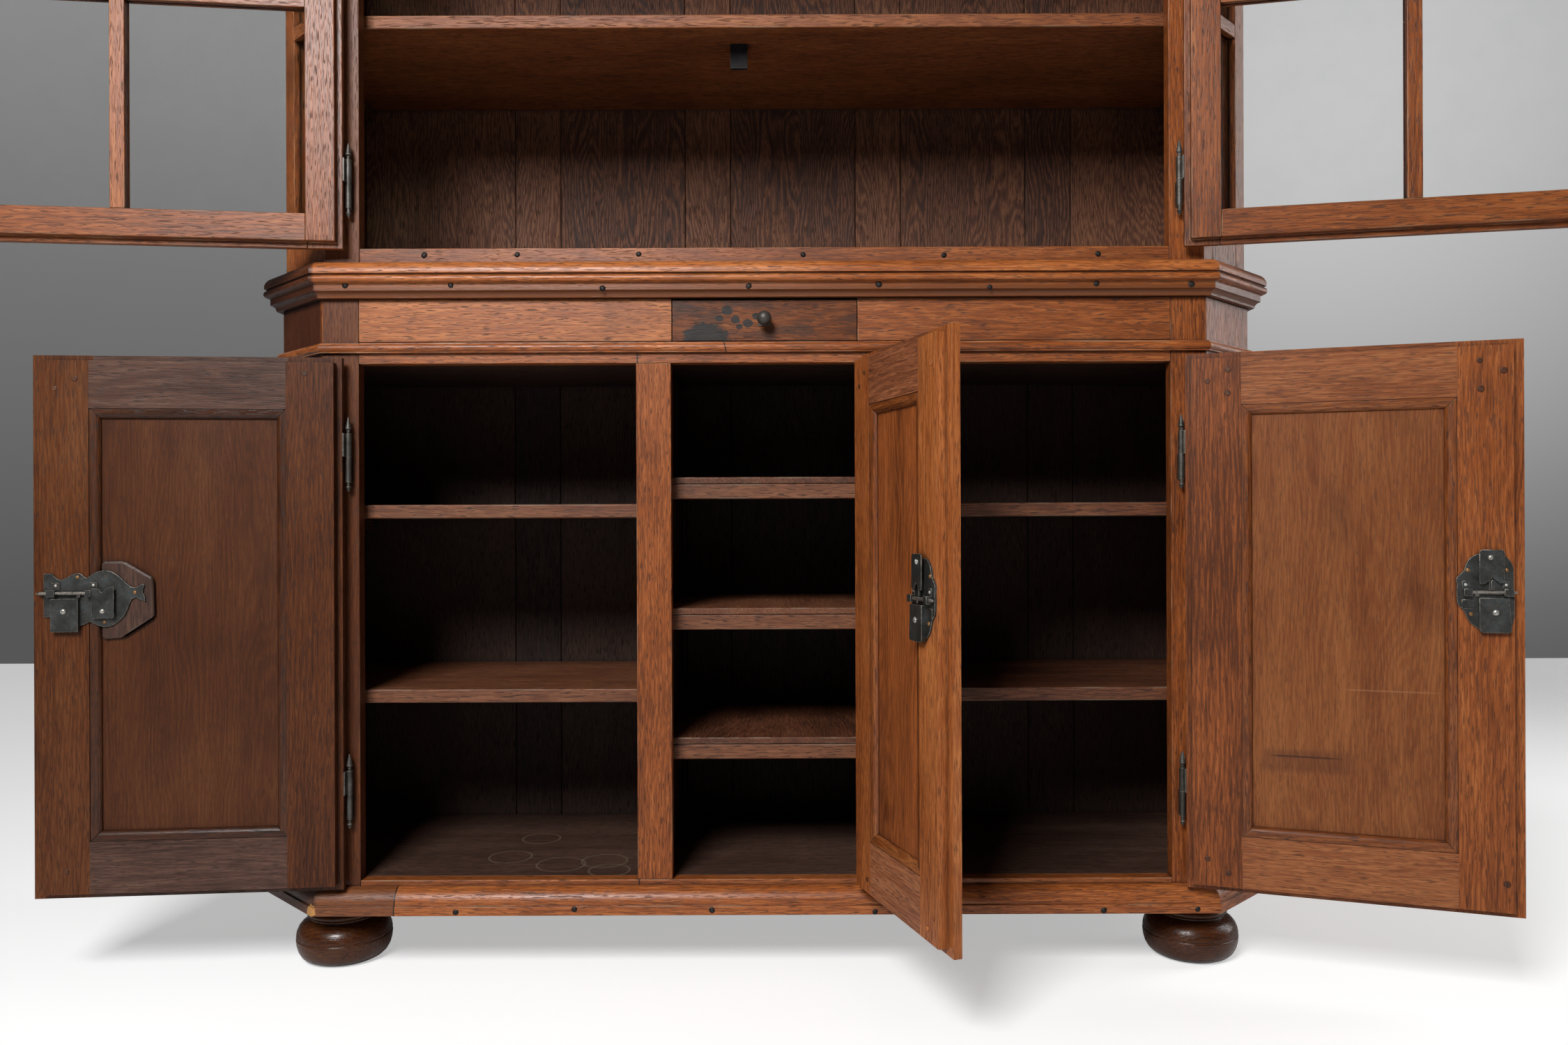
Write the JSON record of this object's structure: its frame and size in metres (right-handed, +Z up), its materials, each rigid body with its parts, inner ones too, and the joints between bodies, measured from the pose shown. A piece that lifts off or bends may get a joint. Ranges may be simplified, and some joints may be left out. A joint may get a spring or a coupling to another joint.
{
  "type": "vitrine cabinet",
  "caption": "Oak vitrine cabinet with canted corners: glazed doors above, panelled doors with iron locks below, a small frieze drawer and bun feet.",
  "frame": {"origin": "on the floor under the middle of the carcass's plan", "axes": "+Z up, the front faces -Y, +X to the right when facing the front"},
  "size_m": [2.3694, 0.6834, 2.16],
  "materials": {
    "oak": "waxed, worn",
    "oak_inside": "unpolished, grey-brown",
    "dark_oak": "dark stained",
    "iron": "forged, rusted",
    "glass": "clear"
  },
  "bodies": {
    "carcass": {"bun_feet": "dark_oak", "base_moulding": "oak", "lower_posts": "oak", "lower_rails": "oak", "lower_side_boards": "oak", "partitions": "oak_inside", "lower_floor": "oak_inside", "lower_shelves": "oak_inside", "lower_back_boards": "oak_inside", "drawer_deck": "oak_inside", "string_moulding": "oak", "waist_board": "oak_inside", "waist_moulding": "oak", "vitrine_posts": "oak", "vitrine_rails": "oak", "corner_light_frames": "oak", "corner_light_glass": "glass", "vitrine_side_boards": "oak", "vitrine_boards": "oak_inside", "vitrine_shelves": "oak_inside", "vitrine_back_boards": "oak_inside", "cornice": "oak", "frame_hinges": "iron", "shelf_bearers": "oak_inside", "nails": "iron"},
    "drawer": {"drawer_front": "oak", "drawer_box": "oak_inside", "drawer_knob": "iron"},
    "left_door": {"left_door_stiles": "oak", "left_door_rails": "oak", "left_door_panel": "oak", "left_door_moulding": "oak", "left_door_hinges": "iron", "left_door_lock": "iron", "left_door_lock_block": "oak_inside"},
    "left_door_bolt": {"left_door_lock_bolt": "iron"},
    "middle_door": {"middle_door_stiles": "oak", "middle_door_rails": "oak", "middle_door_panel": "oak", "middle_door_moulding": "oak", "middle_door_hinges": "iron", "middle_door_lock": "iron"},
    "middle_door_bolt": {"middle_door_lock_bolt": "iron"},
    "right_door": {"right_door_stiles": "oak", "right_door_rails": "oak", "right_door_panel": "oak", "right_door_moulding": "oak", "right_door_hinges": "iron", "right_door_lock": "iron"},
    "right_door_bolt": {"right_door_lock_bolt": "iron"},
    "upper_left_door": {"upper_left_door_stiles": "oak", "upper_left_door_rails": "oak", "upper_left_door_glazing_bars": "oak", "upper_left_door_glass": "glass", "upper_left_door_hinges": "iron"},
    "upper_right_door": {"upper_right_door_stiles": "oak", "upper_right_door_rails": "oak", "upper_right_door_glazing_bars": "oak", "upper_right_door_glass": "glass", "upper_right_door_hinges": "iron"}
  },
  "joints": [
    {"name": "drawer_slide", "type": "slide", "parent": "carcass", "child": "drawer", "axis": [0, -1, 0], "range_m": [0, 0.25]},
    {"name": "left_door_hinge", "type": "hinge", "parent": "carcass", "child": "left_door", "pos_m": [-0.5945, -0.2063, 0], "axis": [0, 0, -1], "range_deg": [-175, 2]},
    {"name": "middle_door_hinge", "type": "hinge", "parent": "carcass", "child": "middle_door", "pos_m": [0.146, -0.2063, 0], "axis": [0, 0, 1], "range_deg": [-108, 31]},
    {"name": "right_door_hinge", "type": "hinge", "parent": "carcass", "child": "right_door", "pos_m": [0.5945, -0.2063, 0], "axis": [0, 0, 1], "range_deg": [-161, 11]},
    {"name": "upper_left_door_hinge", "type": "hinge", "parent": "carcass", "child": "upper_left_door", "pos_m": [-0.5945, -0.2023, 0], "axis": [0, 0, -1], "range_deg": [-173, 3]},
    {"name": "upper_right_door_hinge", "type": "hinge", "parent": "carcass", "child": "upper_right_door", "pos_m": [0.5945, -0.2023, 0], "axis": [0, 0, 1], "range_deg": [-168, 8]},
    {"name": "left_door_bolt_slide", "type": "slide", "parent": "left_door", "child": "left_door_bolt", "axis": [-0.9962, -0.0872, 0], "range_m": [0, 0.012]},
    {"name": "middle_door_bolt_slide", "type": "slide", "parent": "middle_door", "child": "middle_door_bolt", "axis": [0.309, -0.9511, 0], "range_m": [0, 0.012]},
    {"name": "right_door_bolt_slide", "type": "slide", "parent": "right_door", "child": "right_door_bolt", "axis": [0.9455, -0.3256, 0], "range_m": [0, 0.012]}
  ]
}
